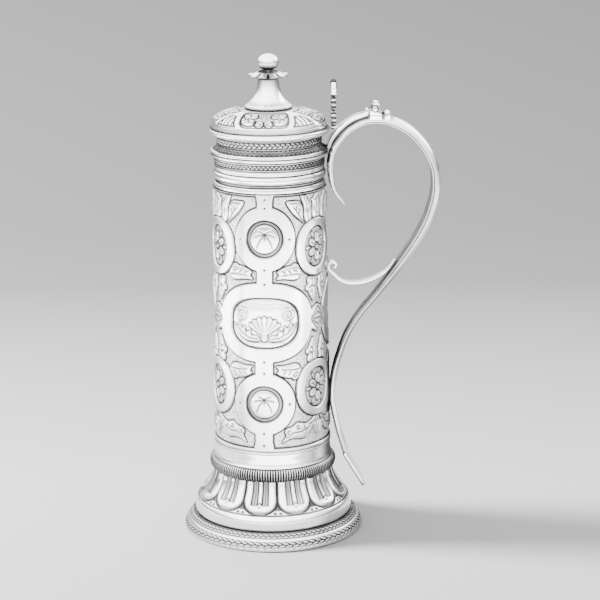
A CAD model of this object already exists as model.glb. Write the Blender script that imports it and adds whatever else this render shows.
import functools
import math

import bpy
import numpy as np
from mathutils import Matrix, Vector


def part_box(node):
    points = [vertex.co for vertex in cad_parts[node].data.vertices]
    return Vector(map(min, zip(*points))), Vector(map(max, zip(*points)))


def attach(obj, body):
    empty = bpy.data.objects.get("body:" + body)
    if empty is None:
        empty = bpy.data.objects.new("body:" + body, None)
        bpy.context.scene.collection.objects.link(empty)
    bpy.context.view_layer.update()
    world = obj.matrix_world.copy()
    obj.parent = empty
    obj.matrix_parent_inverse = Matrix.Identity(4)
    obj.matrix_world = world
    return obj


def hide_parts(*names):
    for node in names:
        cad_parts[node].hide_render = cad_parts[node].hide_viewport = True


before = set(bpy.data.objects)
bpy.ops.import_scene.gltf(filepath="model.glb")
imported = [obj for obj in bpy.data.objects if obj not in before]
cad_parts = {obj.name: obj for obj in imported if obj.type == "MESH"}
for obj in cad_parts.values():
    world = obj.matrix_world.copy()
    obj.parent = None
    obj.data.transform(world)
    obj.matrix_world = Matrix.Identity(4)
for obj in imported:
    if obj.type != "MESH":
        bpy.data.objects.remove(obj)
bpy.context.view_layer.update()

# Foot flange
# The stepped ring that the tankard stands on. It is spun from silver sheet, and two strips with
# a stamped leaf border are let into its slopes; the torus above is soldered to it.

drum_low, drum_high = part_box("drum")
axis_x = (drum_low.x + drum_high.x) / 2
axis_mm = axis_x * 1000


def smooth(value, low, high):
    """0 below low, 1 above high, and the smooth cubic step between."""
    t = np.clip((value - low) / (high - low), 0, 1)
    return t * t * (3 - 2 * t)


def soft(distance, width, power=2):
    """A soft line or spot: exp(-(distance / width) ^ power), so 1 in its middle and 0 far away."""
    return np.exp(-(distance / width) ** power)


def highest(*fields):
    """The greatest of several fields at each point."""
    return functools.reduce(np.maximum, fields)


def unit(vectors):
    """Vectors along the last axis, each divided by its length."""
    return vectors / np.maximum(np.linalg.norm(vectors, axis=-1, keepdims=True), 1e-9)


def left_of(run):
    """Unit directions a quarter turn to the left of those in the rows (a, b): (-b, a)."""
    return unit(np.stack([-run[:, 1], run[:, 0]], 1))


def walked(points):
    """Distance along a line from its first point to each of its points."""
    return np.concatenate([[0.0], np.cumsum(np.hypot(*np.diff(points, axis=0).T))])


def rows_of(*columns):
    """Rows from columns of numbers; a single number fills its column."""
    return np.column_stack(np.broadcast_arrays(*columns))


def eased(outline, ease, steps=4):
    """A closed outline with soft corners: each corner becomes a quadratic curve that leaves the
    edge before it, and joins the edge after it, at the distance `ease` from the corner."""
    corner = np.asarray(outline, float)

    def along_edge(to):
        edge = np.roll(corner, to, 0) - corner
        length = np.linalg.norm(edge[:, :2], axis=1, keepdims=True)
        return (corner + edge * np.minimum(ease / np.maximum(length, 1e-9), 0.45))[:, None]

    t = np.linspace(0, 1, steps)[None, :, None]
    curve = (1 - t) ** 2 * along_edge(1) + 2 * t * (1 - t) * corner[:, None] + t ** 2 * along_edge(-1)
    curve[..., 2:] = corner[:, None, 2:]
    return curve.reshape(-1, corner.shape[1])


def profile(ease, *parts):
    """The closed line of a turned piece from parts with rows (radius, height, pitch): the corners
    are eased, and each edge is divided so that points lie about the pitch of its first row apart."""
    outline = eased(np.vstack(parts), ease)
    line = np.vstack([outline, outline[:1]])
    length = np.hypot(*np.diff(line[:, :2], axis=0).T)
    count = np.concatenate([[0.0], np.cumsum(np.maximum(length / line[:-1, 2], 1e-6))])
    place = np.linspace(0, count[-1], int(math.ceil(count[-1])), endpoint=False)
    return np.stack([np.interp(place, count, line[:, k]) for k in (0, 1)], 1)


def blurred(field, reach, wrap_rows=False):
    """A field on a ring smoothed by a running mean of `reach` cells each way, round and along."""
    steps = range(2 * reach + 1)
    total = sum(np.roll(field, step - reach, 1) for step in steps)
    rows = np.pad(total, ((reach, reach), (0, 0)), "wrap" if wrap_rows else "edge")
    return sum(rows[step:step + len(field)] for step in steps) / len(steps) ** 2


def mesh_object(name, points, faces, material, marks=None):
    """A mesh from points in millimetres and arrays of faces, with smooth faces and sharp corners."""
    mesh = bpy.data.meshes.new(name)
    loops = np.concatenate([f.ravel() for f in faces]).astype(np.int32)
    sizes = np.concatenate([np.full(len(f), f.shape[1]) for f in faces]).astype(np.int32)
    mesh.vertices.add(points.size // 3)
    mesh.vertices.foreach_set("co", (points * 0.001).astype(np.float32).ravel())
    mesh.loops.add(len(loops))
    mesh.loops.foreach_set("vertex_index", loops)
    mesh.polygons.add(len(sizes))
    starts = np.concatenate([[0], np.cumsum(sizes)[:-1]]).astype(np.int32)
    mesh.polygons.foreach_set("loop_start", starts)
    mesh.update(calc_edges=True)
    mesh.shade_smooth()
    mesh.set_sharp_from_angle(angle=math.radians(48))
    for mark, values in (marks or {}).items():
        layer = mesh.attributes.new(mark, "FLOAT", "POINT")
        layer.data.foreach_set("value", np.asarray(values, np.float32).ravel())
    mesh.materials.append(material)
    obj = bpy.data.objects.new(name, mesh)
    bpy.context.scene.collection.objects.link(obj)
    return obj


def grid_faces(rows, columns, wrap_rows=True, wrap_columns=True, first=0):
    """The four-sided faces of a grid of points, closed round either way if asked."""
    i = np.arange(rows if wrap_rows else rows - 1)[:, None]
    j = np.arange(columns if wrap_columns else columns - 1)[None, :]
    under, right = (i + 1) % rows, (j + 1) % columns
    quads = [i * columns + j, under * columns + j, under * columns + right, i * columns + right]
    return np.stack(quads, -1).reshape(-1, 4) + first


def upright(a, b, height, off=0.0):
    """Places a turned shape on the vessel's axis, or on one at the given distance to its right."""
    return np.stack(np.broadcast_arrays(axis_mm + off + a, b, height), -1)


def ring_of(name, radius, height, angle, material, rise=0.0, ink=0.0, matted=0.0, depth=0.3, place=upright):
    """A ring from arrays of radius and height, a closed line down the rows and an angle to each
    column. `recess` is how far the relief `rise` lies under the mean of the points about it, or
    the darkness `ink` where that is more; it spreads by one column each way."""
    points = place(radius * np.cos(angle), radius * np.sin(angle), height)
    rise, ink, matted = (np.broadcast_to(f, points.shape[:2]).astype(float) for f in (rise, ink, matted))
    recess = highest(np.clip((blurred(rise, 3, True) - rise) / depth, 0, 1), np.clip(ink, 0, 1))
    recess = highest(recess, np.roll(recess, 1, 1), np.roll(recess, -1, 1))
    marks = {"recess": recess, "matted": matted}
    return mesh_object(name, points, [grid_faces(*rise.shape)], material, marks)


def turned(name, line, angle, material, relief=0.0, ink=0.0, matted=0.0, depth=0.3, place=upright):
    """A turned ring. The point in row i and column j is point i of the closed line (radius,
    height), pushed out along the line's own normal by relief[i, j], and swung round to angle[j].
    Hollow corners are dark: a point is dark by how far it lies inside the middle of the two points
    1 mm before and after it along the line. So are the joints at the top and the foot of the ring.
    A field with fewer rows than the line is 0 in the rows after its last."""
    def whole(field):
        field = np.atleast_2d(field)
        short = len(line) - len(field) if len(field) > 1 else 0
        return np.broadcast_to(np.pad(field, ((0, short), (0, 0))), (len(line), len(angle)))

    relief, ink, matted = whole(relief), whole(ink), whole(matted)
    normal = left_of(np.roll(line, -1, 0) - np.roll(line, 1, 0))
    closed = np.vstack([line, line[:1]])
    walk = walked(closed)
    middle = sum(
        np.stack([np.interp((walk[:-1] + step) % walk[-1], walk, closed[:, k]) for k in (0, 1)], 1)
        for step in (-1.0, 1.0)
    ) / 2 - line
    dark = 0.95 * np.clip(((middle * normal).sum(1) - 0.03) / 0.16, 0, 1)
    joints = [0.85 * soft(line[:, 1] - end, 0.5) for end in (line[:, 1].min(), line[:, 1].max())]
    ink = highest(ink, highest(dark, *joints)[:, None])
    radius, height = (line[:, [k]] + normal[:, [k]] * relief for k in (0, 1))
    return ring_of(name, radius, height, angle, material, relief, ink, matted, depth, place)


def round_angles(count, start_deg=0.0):
    """Angles evenly round a full turn."""
    return math.radians(start_deg) + np.arange(count) * (math.tau / count)


def add_node(tree, kind, output=None, **values):
    """A new shader node, or its output of the given name. Each value is a setting, a number for an
    input, or an output to link to it; _ stands for the blank in an input's name."""
    new = tree.nodes.new("ShaderNode" + kind)
    for key, value in values.items():
        name = key.replace("_", " ")
        if name not in new.inputs:
            setattr(new, key, value)
        elif isinstance(value, bpy.types.NodeSocket):
            tree.links.new(value, new.inputs[name])
        else:
            new.inputs[name].default_value = value
    return new.outputs[output] if output else new


def add_maths(tree, operation, *terms):
    """The output of a new node that adds, multiplies and so on two terms, numbers or outputs."""
    new = add_node(tree, "Math", operation=operation)
    for socket, term in zip(new.inputs, terms):
        if isinstance(term, bpy.types.NodeSocket):
            tree.links.new(term, socket)
        else:
            socket.default_value = term
    return new.outputs[0]


def add_range(tree, value, start, end, first, last, **settings):
    """The output of a new node that brings an output from start..end to first..last."""
    return add_node(tree, "MapRange", "Result", Value=value, From_Min=start, From_Max=end,
                    To_Min=first, To_Max=last, **settings)


def silver(name, rough, tone=0.93, grain=0.02, dark=0.03):
    """Silver: bright and smooth where it is rubbed, coated dark and dull where `recess` is 1, and
    pricked with a punch where `matted` is 1; soft patches of tarnish and rubbing marks lie over it."""
    made = bpy.data.materials.new(name)
    made.use_nodes = True
    made.node_tree.nodes.clear()
    node, maths, ranged = (functools.partial(add, made.node_tree) for add in (add_node, add_maths, add_range))
    place = node("TexCoord", "Object")
    recess = node("Attribute", "Fac", attribute_name="recess")
    matted = node("Attribute", "Fac", attribute_name="matted")
    patch = node("TexNoise", "Fac", Vector=place, Scale=42.0, Detail=4.0)
    rub = node("TexNoise", "Fac", Vector=place, Scale=900.0, Detail=3.0)
    punch = node("TexVoronoi", "Distance", Vector=place, Scale=900.0)

    shade = maths("MAXIMUM", recess, maths("MULTIPLY", matted, ranged(punch, 0.1, 0.6, 0.85, 0.16)))
    shade = maths("MINIMUM", maths("ADD", shade, ranged(patch, 0.45, 0.8, 0.0, 0.22)), 1.0)
    bright, coated = (tone, tone, tone * 0.985, 1.0), (dark, dark, dark * 0.95, 1.0)
    colour = node("Mix", "Result", data_type="RGBA", A=bright, B=coated, Factor=shade)

    dull = maths("ADD", maths("MULTIPLY", patch, 0.10), rough - 0.05)
    dull = maths("ADD", dull, maths("MULTIPLY", recess, 0.30))
    dull = maths("ADD", dull, maths("MULTIPLY", matted, 0.24))
    pits = maths("MULTIPLY", maths("MULTIPLY", punch, matted), 0.35)
    height = maths("ADD", maths("MULTIPLY", rub, grain), pits)
    bump = node("Bump", "Normal", Strength=0.5, Distance=0.0006, Height=height)
    metal = node("BsdfPrincipled", "BSDF", Metallic=1.0, Base_Color=colour, Specular_Tint=colour,
                 Roughness=dull, Normal=bump)
    node("OutputMaterial", Surface=metal)
    return made


def dressed(obj, body, slot, *nodes):
    """A finished piece on its body, in its material slot, in place of the plain nodes."""
    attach(obj, body)
    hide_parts(*nodes)


def leaf_border(line, angle, inner, middle, half, leaves, high, sunk):
    """Relief of a stamped strip on the part of a turned line outside the radius `inner`, `half` each
    way from the height `middle`: two rows of lapped leaves, half a leaf apart. Each leaf is a saw
    tooth, steep at its tip, whose phase runs on with the distance from the strip's middle line, and
    its two sides fall away as a half wave from that line to the strip's edge."""
    across = (line[:, 1:] - middle) / half
    tooth = (angle * leaves / math.tau + 0.5 * (across > 0) + 0.75 * np.abs(across)) % 1
    leaf = smooth(tooth, 0.0, 0.14) * (1 - 0.85 * tooth)
    leaf = leaf * np.clip(np.sin(math.pi * np.clip(np.abs(across), 0, 1)), 0, 1) ** 0.45
    return np.where((np.abs(across) < 1) & (line[:, :1] > inner), high * leaf - sunk, 0.0)


chased_silver = silver("chased silver", rough=0.18)
worn_silver = silver("worn silver", tone=0.70, rough=0.24)
flange_angle = round_angles(960)
flange_line = profile(0.3, [
    (53.4, 11.2, 0.35), (54.6, 11.0, 0.35), (56.6, 8.2, 0.5), (57.2, 7.6, 0.35),
    (57.9, 6.4, 0.35), (59.7, 3.0, 0.5), (60.0, 2.2, 0.6), (60.0, 0.0, 3.0),
    (55.0, 0.0, 4.0), (50.6, 9.0, 1.5), (50.6, 11.2, 1.0),
])
on_flange = functools.partial(leaf_border, flange_line, flange_angle, inner=53.8)
upper_strip = on_flange(middle=9.65, half=1.5, leaves=96, high=0.75, sunk=0.35)
lower_strip = on_flange(middle=4.55, half=2.05, leaves=80, high=0.95, sunk=0.45)
flange_relief = upper_strip + lower_strip
in_strip = flange_relief != 0
foot_flange = turned("silver_foot_flange", flange_line, flange_angle, worn_silver, flange_relief,
                     ink=0.42 * in_strip, matted=0.3 * in_strip, depth=0.17)
dressed(foot_flange, "vessel", "silver_chased", "foot_flange")

# Foot torus
# A plain swelling ring between the flange and the lobed bell, spun from sheet and polished. It
# is soldered to the pieces above and below it.

polished_silver = silver("polished silver", rough=0.15, grain=0.012)
swell = np.linspace(0, 1, 22)
torus_line = profile(
    0.3,
    rows_of(50.2 + 2.6 * np.sqrt(1 - (1 - swell) ** 2), 21.7 - 8.0 * swell, 0.4),
    [(52.7, 12.6, 0.4), (52.1, 11.7, 0.4), (51.4, 11.5, 1.0), (47.9, 11.5, 3.0), (47.9, 21.7, 2.0)],
)
foot_torus = turned("silver_foot_torus", torus_line, round_angles(192), polished_silver)
dressed(foot_torus, "vessel", "silver_polished", "foot_torus")

# Foot bell
# Twelve raised lobes round a flared foot, beaten up from the back and chased from the front: each
# has a broad smooth border and a sunk panel with two flutes beside a flat rib. A dot is punched
# under each panel, and two between the feet of each two lobes.

bell_share = np.linspace(0, 1, 92)
bell_outer = rows_of(39.1 + 11.0 * bell_share ** 1.7, 41.8 - 19.8 * bell_share)
bell_line = np.vstack([bell_outer, [(48.0, 22.0), (43.4, 25.5), (37.0, 34.0), (36.9, 41.8)]])
bell_start_deg, lobe_deg = -86.5, 30
bell_angle = round_angles(960, bell_start_deg)
slope = walked(bell_outer)[:, None]
up = slope[-1] - slope
bell_deg = (np.degrees(bell_angle) - bell_start_deg)[None, :]
lobe_x = (bell_deg % lobe_deg - lobe_deg / 2) * 0.80
gap_x = ((bell_deg + lobe_deg / 2) % lobe_deg - lobe_deg / 2) * 0.82


def round_box(qx, qy, corner):
    """Distance from a panel with round corners: qx and qy are how far a point lies past the
    straight part of its sides and of its ends, less than 0 between them."""
    return np.hypot(np.maximum(qx, 0), np.maximum(qy, 0)) + np.minimum(np.maximum(qx, qy), 0) - corner


from_middle = np.abs(lobe_x)
lobe = round_box(from_middle - 2.15, 10.7 - up, 9.6)
notch = 6.6 + 1.8 * np.clip(1 - from_middle / 1.6, 0, 1)
flutes = np.maximum(from_middle - 5.6, notch - up)
in_flutes = smooth(-flutes, -0.15, 0.35)
scoop = smooth(from_middle, 0.9, 2.6) * (1 - 0.7 * smooth(from_middle, 4.2, 5.6))
bell_relief = 1.1 * smooth(-lobe, -0.1, 2.2) - 0.7 * soft(lobe - 0.2, 0.6) - in_flutes * (0.30 + 0.65 * scoop)
bell_ink = highest(
    soft(lobe - 0.25, 0.85) * (0.45 + 0.55 * smooth(from_middle + 2 * up, 3.0, 8.0)),
    0.92 * smooth(up, 2.2, 3.8) * smooth(lobe, -0.1, 0.3),
    in_flutes * smooth(from_middle, 1.0, 1.8) * (0.54 + 0.2 * smooth(up, 8.0, 18.0)),
    in_flutes * soft(from_middle - 1.75, 0.50),
    0.85 * in_flutes * soft(from_middle - 3.7, 0.50),
    0.9 * in_flutes * soft(from_middle - 5.6, 0.50),
    0.9 * soft(flutes, 0.55),
)
for dot, sunk, wide, dark, dark_wide in (
    (np.hypot(gap_x + 1.7, up - 1.5), 0.4, 0.8, 1.0, 1.0),
    (np.hypot(gap_x - 1.7, up - 1.5), 0.4, 0.8, 1.0, 1.0),
    (np.hypot(lobe_x, up - 5.2), 0.3, 0.6, 0.8, 0.7),
):
    bell_relief = bell_relief - sunk * soft(dot, wide, 4)
    bell_ink = highest(bell_ink, dark * soft(dot, dark_wide, 4))
bell_relief = bell_relief * smooth(slope, -0.2, 0.5)
foot_bell = turned("silver_foot_bell", bell_line, bell_angle, chased_silver, bell_relief, bell_ink, depth=0.7)
dressed(foot_bell, "vessel", "silver_chased", "foot_bell")

# Reeded collar
# A half-round ring with upright reeds all round, rolled from thick wire in a swage and soldered
# over the joint between the bell and the drum's band.


def unrubbed(angle, most):
    """Tarnish left near the handle, where a cloth does not reach: a smooth step up to `most` on
    the cosine of the angle from the handle's side."""
    return most * smooth(np.cos(angle), 0.78, 0.94)


def half_round(x):
    """Height of a half circle of radius 1 at x from its middle: the root of 1 - x^2, 0 outside."""
    return np.sqrt(np.clip(1 - x ** 2, 0, 1))


def arc(middle, size, turn_deg, count, *pitch):
    """Rows along an oval about its middle, from one angle to another: middle + size * (cos, sin)."""
    turn = np.radians(np.linspace(*turn_deg, count))
    return rows_of(middle[0] + size[0] * np.cos(turn), middle[1] + size[1] * np.sin(turn), *pitch)


reed_count = 152
reed_angle = round_angles(reed_count * 8, -90)
belly = arc((39.5, 46.1), (2.6, 3.95), (86, -86), 27)
collar_line = np.vstack([belly, [(39.2, 42.1), (36.9, 42.1), (36.9, 50.1), (39.2, 50.1)]])
reed = 2 * ((reed_angle * reed_count / math.tau) % 1 - 0.5)
reed_fade = np.concatenate([((belly[:, 0] - 39.5) / 2.6) ** 0.5, np.zeros(4)])[:, None]
reed_ink = highest(smooth(np.abs(reed), 0.22, 0.58) * reed_fade, unrubbed(reed_angle, 0.65))
collar = turned("silver_reeded_collar", collar_line, reed_angle, chased_silver,
                0.75 * reed_fade * (half_round(reed) - 0.6), reed_ink)
dressed(collar, "vessel", "silver_chased", "reeded_collar")

# Drum foot band
# The plain band that the drum stands on, turned and polished, and flared to a soft edge where it
# meets the collar.

band_line = profile(0.3, [
    (38.6, 60.2, 0.4), (38.7, 58.6, 0.6), (38.85, 55.4, 0.5), (39.05, 52.8, 0.4), (39.6, 51.2, 0.3),
    (40.0, 50.6, 0.3), (39.9, 50.4, 1.0), (36.9, 50.4, 2.0), (36.9, 60.2, 1.0),
])
rim_angle = round_angles(192)
foot_band = turned("silver_drum_foot_band", band_line, rim_angle, polished_silver,
                   ink=unrubbed(rim_angle, 0.7))
dressed(foot_band, "vessel", "silver_polished", "drum_foot_band")

# Vessel base
# The flat disc let into the drum to close it, hammered from sheet and left plain.

plain_silver = silver("plain silver", rough=0.17, grain=0.02)


def left_plain(node):
    """Gives plain silver to a piece that keeps its CAD shape."""
    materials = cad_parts[node].data.materials
    materials.clear()
    materials.append(plain_silver)


left_plain("vessel_base")

# Drum
# The tapered wall of the vessel, raised from sheet and chased all round in low relief: flat
# strapwork with punched dots, polished bosses, rosettes and leaves on a matted ground, the same
# three times round. The work leans a little from foot to rim. It is three stacked lengths of one wall.

turns = 3
half_columns = 120
band_rows = 134
column_deg = -96.8
lean_deg = 1.7
drum_top, drum_foot = 234.0, 60.5
top_radius, mean_radius, foot_radius, wall_thick = 36.9, 37.7, 38.5, 1.6
drum_z = np.linspace(drum_top, drum_foot, 3 * band_rows + 1)
wall = np.linspace(top_radius, foot_radius, len(drum_z))
half_turn_deg = 180.0 / turns
offset = (np.arange(half_columns) + 0.5) * (half_turn_deg / half_columns)

# On a half column S is the distance round from its middle line, X the distance back from its edge,
# Z the height and H the relief.
S, Z = np.meshgrid(np.radians(offset) * mean_radius, drum_z)
side = math.radians(half_turn_deg) * mean_radius
X = side - S


def nearest(*distances):
    """The least of several distances at each point."""
    return functools.reduce(np.minimum, distances)


def between(value, start, full, wane, end):
    """A smooth rise from 0 at start to 1 at full, and a smooth fall from 1 at wane to 0 at end."""
    return smooth(value, start, full) * (1 - smooth(value, wane, end))


def oval(x, y, wide, high, power=2.0):
    """Distance from an oval, near enough: (|x/wide|^p + |y/high|^p)^(1/p) less 1, to scale."""
    return ((np.abs(x / wide) ** power + np.abs(y / high) ** power) ** (1 / power) - 1) * min(wide, high)


def line_distance(points, x, y):
    """Distance of the points (x, y) from a line of straight pieces; points more than 2.5 outside the
    line's own box are left at 9."""
    points = np.asarray(points, float)
    (low_x, low_y), (high_x, high_y) = points.min(0) - 2.5, points.max(0) + 2.5
    near = (x > low_x) & (x < high_x) & (y > low_y) & (y < high_y)
    place = np.stack([x[near], y[near]], 1)[:, None]
    start, run = points[:-1][None], np.diff(points, axis=0)[None]
    share = ((place - start) * run).sum(2) / np.maximum((run ** 2).sum(2), 1e-9)
    gap = place - start - np.clip(share, 0, 1)[..., None] * run
    found = np.full_like(x, 9.0)
    found[near] = np.sqrt((gap ** 2).sum(2)).min(1)
    return found


def lines_distance(lines, x, y):
    """Distance of the points (x, y) from the nearest of several lines."""
    return nearest(*[line_distance(line, x, y) for line in lines])


def leaf_distance(points, x, y):
    """Signed distance from a closed leaf outline, negative inside: the outline is a smooth curve
    through the points, each span a cubic whose ends lean along the line between the neighbours."""
    behind, knot, ahead, after = (np.roll(np.asarray(points, float), k, 0)[:, None] for k in (1, 0, -1, -2))
    t = np.linspace(0, 1, 5, endpoint=False)[None, :, None]
    curve = (2 * t ** 3 - 3 * t ** 2 + 1) * knot + (t ** 3 - 2 * t ** 2 + t) * (ahead - behind) / 2
    curve = curve + (3 * t ** 2 - 2 * t ** 3) * ahead + (t ** 3 - t ** 2) * (after - knot) / 2
    curve = curve.reshape(-1, 2)
    curve = np.vstack([curve, curve[:1]])
    gap = line_distance(curve, x, y)
    near = gap < 9
    (x0, y0), (x1, y1) = curve[:-1].T, curve[1:].T
    x, y = x[near][:, None], y[near][:, None]
    crosses = ((y0 > y) != (y1 > y)) & (x < x0 + (y - y0) * (x1 - x0) / np.where(y1 == y0, 1e-9, y1 - y0))
    gap[near] *= np.where(crosses.sum(1) % 2 == 1, -1.0, 1.0)
    return gap


def fan(dx, dy, radius, ribs, spread, rise):
    """Height of a shell about its foot: ribs round an upright fan, scalloped at the edge."""
    bearing = np.arctan2(dx, dy)
    reach = np.hypot(dx, dy)
    rib = np.abs(np.cos(bearing / spread * ribs * math.pi / 2)) ** 0.7
    edge = radius * (0.84 + 0.16 * rib)
    inside = 1 - smooth(reach, edge - 0.5, edge + 0.1)
    inside = inside * (1 - smooth(np.abs(bearing), spread - 0.08, spread))
    return rise * inside * (0.45 + 0.55 * rib) * (0.7 + 0.3 * smooth(reach, 0, 0.6 * radius))


def volute(dx, dy, radius, turns_in, rise):
    """Height of a curled leaf end: a ridge along a spiral whose radius shrinks evenly to 0."""
    reach = np.hypot(dx, dy)
    pitch = radius / turns_in
    phase = ((reach - pitch * np.arctan2(dy, dx) / math.tau) / pitch) % 1
    return rise * np.sin(math.pi * phase) ** 0.8 * (1 - smooth(reach, radius - 0.5, radius + 0.1))


def turned_to(dx, dz, bearing):
    """The same offsets measured along a bearing and across it, to its left."""
    ux, uz = math.cos(bearing), math.sin(bearing)
    return dx * ux + dz * uz, -dx * uz + dz * ux


# Strapwork: a plain column with two ring frames and a cushion frame, and cross straps at the middle.
rosette_heights, eye_heights, cushion_z = (197.3, 102.6), (205.2, 94.6), 149.7
boss_radius, moat_radius, eye_radius = 9.5, 12.0, 12.4
column = S - 5.85 + 0.7 * (Z > 149.5) - 0.9 * smooth(np.abs(Z - 149.5), 80, 86)
cross = np.abs(Z - cushion_z) - 6.9 - 2.2 * smooth(S, 33.5, 39.5)
outer = nearest(column, oval(S, Z - 204.9, 20.6, 21.4), oval(S, Z - 94.6, 20.7, 21.2),
                oval(S, Z - cushion_z, 34.0, 26.6, 2.25), np.where(S > 30, cross, 9.0))
eyes = nearest(*[np.hypot(S, Z - middle) for middle in eye_heights])
panel = oval(S, Z - 149.4, 23.8, 17.1, 2.5)
rosette_frame = nearest(*[oval(X, Z - middle, 17.9, 18.9, 2.2) for middle in rosette_heights])
rosette_hole = nearest(*[oval(X, Z - middle, 11.4, 13.7, 2.1) for middle in rosette_heights])
strap = highest(outer, eye_radius - eyes, -panel)
strap = nearest(strap, highest(rosette_frame, -rosette_hole), 233.3 - Z, Z - 64.3)

# Leaves on the ground between the straps, each an outline and its cut veins. Those next to the
# cushion frame are the same above and below it.
broad_leaf = [(27.2, 214.6), (24.0, 217.0), (20.4, 220.0), (17.2, 223.6), (14.4, 228.9), (18.5, 229.6),
              (23.0, 229.2), (25.6, 226.6), (26.4, 222.5), (26.6, 218.5)]
back_leaf = [(30.6, 213.8), (28.4, 216.5), (27.6, 221.0), (27.4, 225.6), (25.8, 229.4), (25.0, 232.4),
             (28.4, 232.6), (30.4, 230.0), (32.4, 228.4), (33.6, 224.4), (33.8, 219.0), (33.0, 214.6)]
middle_leaf = [(side, 213.6), (36.4, 216.2), (35.0, 221.0), (35.6, 226.0), (34.6, 229.2), (36.8, 230.0),
               (side, 233.0), (2 * side - 36.8, 230.0), (2 * side - 35.0, 221.0), (2 * side - 36.4, 216.2)]
curl_leaf = [(25.2, 182.4), (24.2, 185.6), (22.6, 187.8), (20.0, 188.6), (18.0, 187.2), (15.8, 187.0),
             (13.0, 186.2), (10.4, 185.2), (8.3, 183.4), (9.4, 181.4), (7.8, 178.6), (12.5, 178.6),
             (16.5, 178.0), (20.5, 177.6), (23.4, 178.8)]
husk = [(31.2, 178.0), (30.2, 175.2), (31.0, 173.6), (29.2, 172.0), (29.0, 169.6), (30.8, 168.6),
        (31.8, 166.6), (33.0, 164.6), (35.0, 162.0), (36.4, 165.0), (37.4, 168.0), (38.4, 171.4),
        (37.6, 174.6), (37.8, 178.0)]
corner_leaf = [(37.6, 84.4), (33.4, 81.4), (28.6, 79.8), (24.6, 80.6), (22.2, 81.0), (20.0, 79.4),
               (17.6, 78.2), (15.0, 77.6), (13.4, 75.4), (14.4, 72.6), (12.0, 68.0), (16.4, 70.2),
               (21.0, 70.4), (25.6, 69.8), (29.4, 70.8), (32.4, 73.2), (34.6, 77.6)]
cushion_veins = [
    [(23.6, 181.2), (20.4, 181.6), (16.0, 181.4), (11.4, 181.0)],
    [(21.8, 185.6), (20.2, 186.4), (19.2, 185.2), (20.2, 184.0), (22.0, 183.6)],
    [(17.6, 182.2), (16.0, 184.6)], [(13.8, 182.0), (12.6, 184.2)],
    [(34.4, 177.0), (34.0, 171.0), (34.8, 164.6)], [(33.9, 172.6), (31.4, 171.2)],
    [(34.0, 169.4), (32.4, 167.6)], [(34.1, 172.6), (36.6, 171.0)],
]
end_veins = [
    [(26.6, 215.8), (23.0, 220.6), (19.6, 225.6)], [(23.0, 220.6), (23.6, 224.6)],
    [(21.4, 223.0), (21.6, 226.6)], [(31.6, 214.8), (30.4, 220.0), (29.8, 226.0), (27.4, 231.0)],
    [(30.3, 221.0), (32.4, 225.0)], [(29.9, 224.0), (28.6, 222.6)], [(side, 215.0), (side, 231.0)],
    [(38.6, 220.0), (36.6, 224.0)], [(35.4, 81.0), (30.4, 76.2), (25.0, 74.6), (19.0, 74.4), (14.6, 71.2)],
    [(23.4, 78.4), (22.2, 79.2), (21.4, 78.0), (22.4, 76.8), (24.4, 76.8)],
    [(17.2, 75.6), (15.8, 76.2), (15.2, 74.9), (16.2, 73.8)], [(28.6, 75.6), (27.0, 78.4)],
    [(29.8, 75.2), (28.0, 71.8)], [(33.4, 79.4), (31.0, 79.2)],
]


def with_mirrored(outlines):
    """The outlines, and each again mirrored in the middle height of the cushion frame."""
    return [*outlines, *[[(s, 2 * 149.6 - z) for s, z in points] for points in outlines]]


leaf_outlines = [broad_leaf, back_leaf, middle_leaf, corner_leaf, *with_mirrored([curl_leaf, husk])]
leaf_edge = nearest(*[leaf_distance(outline, S, Z) for outline in leaf_outlines])
veins = lines_distance(end_veins + with_mirrored(cushion_veins), S, Z)
on_leaf = smooth(strap, 0.15, 0.55) * (panel > 0.5) * (rosette_hole > 0.5)
leaves = 1.05 * smooth(-leaf_edge, -0.15, 0.45) + 0.15 * smooth(-leaf_edge, 0.5, 2.4)
leaves = leaves - 0.55 * soft(veins, 0.34) * (leaf_edge < -0.2)
leaves = highest(leaves, fan(S - side, Z - 68.2, 11.6, 5, 0.62, 1.05)) * on_leaf

# Rosettes: six petals about a button, with a pointed leaf between each two. The numbers of a kind
# are its turn, its distance from the middle, its half length and half width, and its height.
petal_kinds = ((0.0, 5.3, 3.5, 2.5, 1.05), (math.pi / 6, 8.6, 3.0, 1.2, 0.75))
flowers = np.zeros_like(S)
flower_edge = np.full_like(S, 9.0)
for middle in rosette_heights:
    dx, dz = X, (Z - middle) * 0.90
    for bearing in np.radians(np.arange(30, 390, 60)):
        for turn_by, centre, long, wide, high in petal_kinds:
            out, over = turned_to(dx, dz, bearing + turn_by)
            petal = oval(out - centre, over, long, wide)
            crease = 0.4 * soft(over, 0.32) * (petal < -0.5)
            flowers = highest(flowers, high * smooth(-petal, -0.05, 0.75) - crease)
            flower_edge = nearest(flower_edge, np.abs(petal) + 0.25)
    button = np.hypot(dx, dz)
    flowers = np.where(button < 2.5, 1.3 * half_round(button / 2.3), flowers)
    flower_edge = nearest(flower_edge, np.abs(button - 2.4) + 0.1)

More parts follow.
